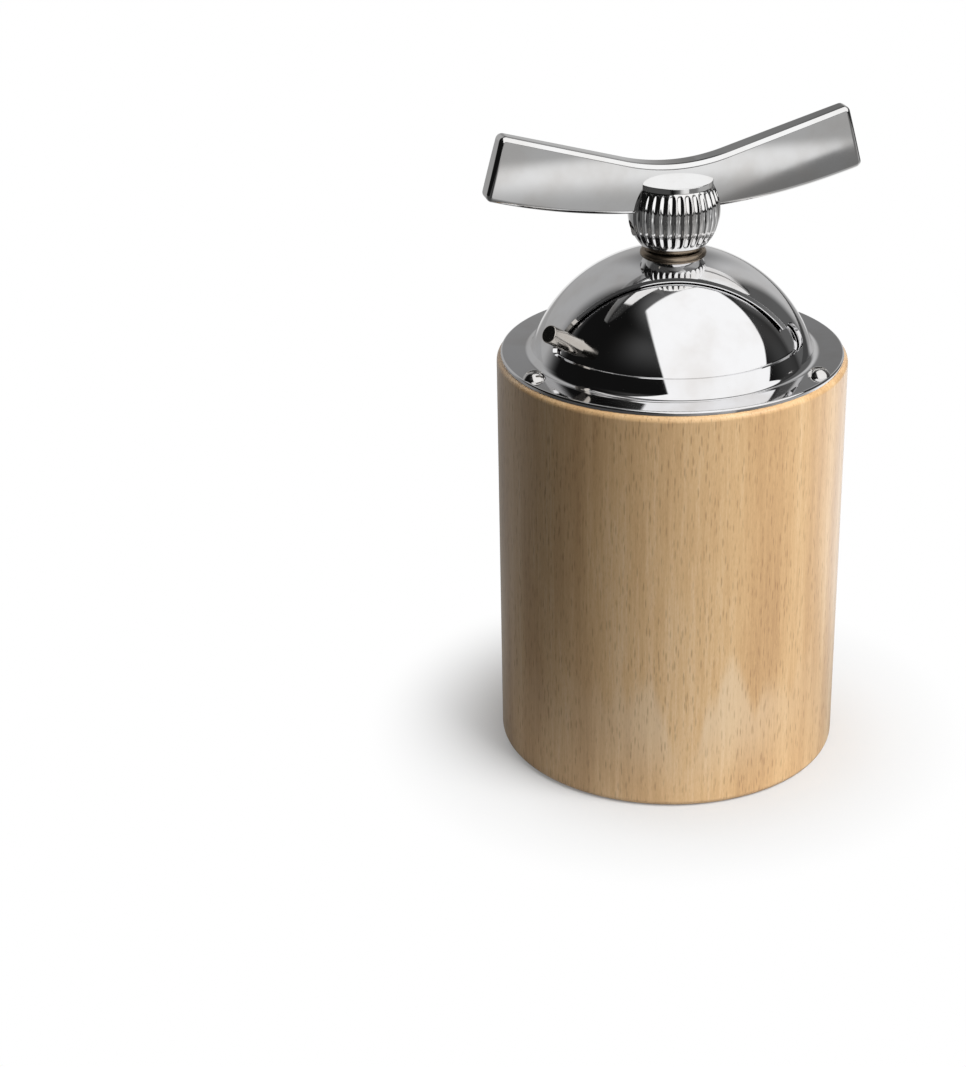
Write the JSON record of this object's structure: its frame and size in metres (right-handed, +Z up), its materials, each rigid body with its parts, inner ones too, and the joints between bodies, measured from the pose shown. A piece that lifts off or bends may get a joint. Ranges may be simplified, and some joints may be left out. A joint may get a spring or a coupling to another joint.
{
  "type": "flaxseed mill",
  "caption": "Hand cranked seed mill: a turned wooden cylinder with a hopper, a polished domed cap with a turning door, a ribbed hub and a crossbar handle that drives a conical burr.",
  "frame": {"origin": "middle of the flat foot, on the spindle axis", "axes": "+Z up along the spindle, -Y out of the window in the cap, +X to the right when the window is faced"},
  "size_m": [0.0724, 0.0684, 0.1293],
  "materials": {
    "wood": "turned beech with a clear satin lacquer",
    "cap_steel": "polished stainless steel sheet",
    "door_steel": "polished stainless steel sheet",
    "knob_steel": "turned and polished steel",
    "hub_steel": "turned, fluted and polished steel",
    "handle_steel": "polished cast steel, softly rounded",
    "screw_steel": "bright machined steel",
    "set_screw_steel": "darkened steel",
    "spindle_steel": "ground steel rod",
    "bronze": "plain bearing bronze",
    "inner_steel": "plain sheet steel",
    "spring_steel": "drawn spring wire",
    "burr_steel": "hardened cast burrs, ground teeth"
  },
  "bodies": {
    "body": {"wooden_body": "wood", "dome_cap": "cap_steel", "cap_screws": "screw_steel", "door_ring": "inner_steel", "crown_bush": "bronze", "bush_nut": "inner_steel", "bearing_spider": "inner_steel", "spider_bush": "bronze", "spider_screws": "screw_steel", "female_burr": "burr_steel", "burr_plate": "inner_steel", "burr_plate_screws": "screw_steel"},
    "door": {"dome_door": "door_steel", "door_knob": "knob_steel", "door_knob_screw": "screw_steel"},
    "crank": {"spindle": "spindle_steel", "ribbed_hub": "hub_steel", "handle_bar": "handle_steel", "hub_set_screw": "set_screw_steel", "hub_washer": "inner_steel", "return_spring": "spring_steel", "spring_washer": "inner_steel", "male_burr": "burr_steel", "burr_washer": "inner_steel", "burr_screw": "screw_steel"}
  },
  "joints": [
    {"name": "crank_turn", "type": "hinge", "parent": "body", "child": "crank", "pos_m": [0, 0, 0.1], "axis": [0, 0, 1], "continuous": true},
    {"name": "door_turn", "type": "hinge", "parent": "body", "child": "door", "pos_m": [0, 0, 0.083], "axis": [0, 0, 1], "range_deg": [-3, 118]}
  ]
}
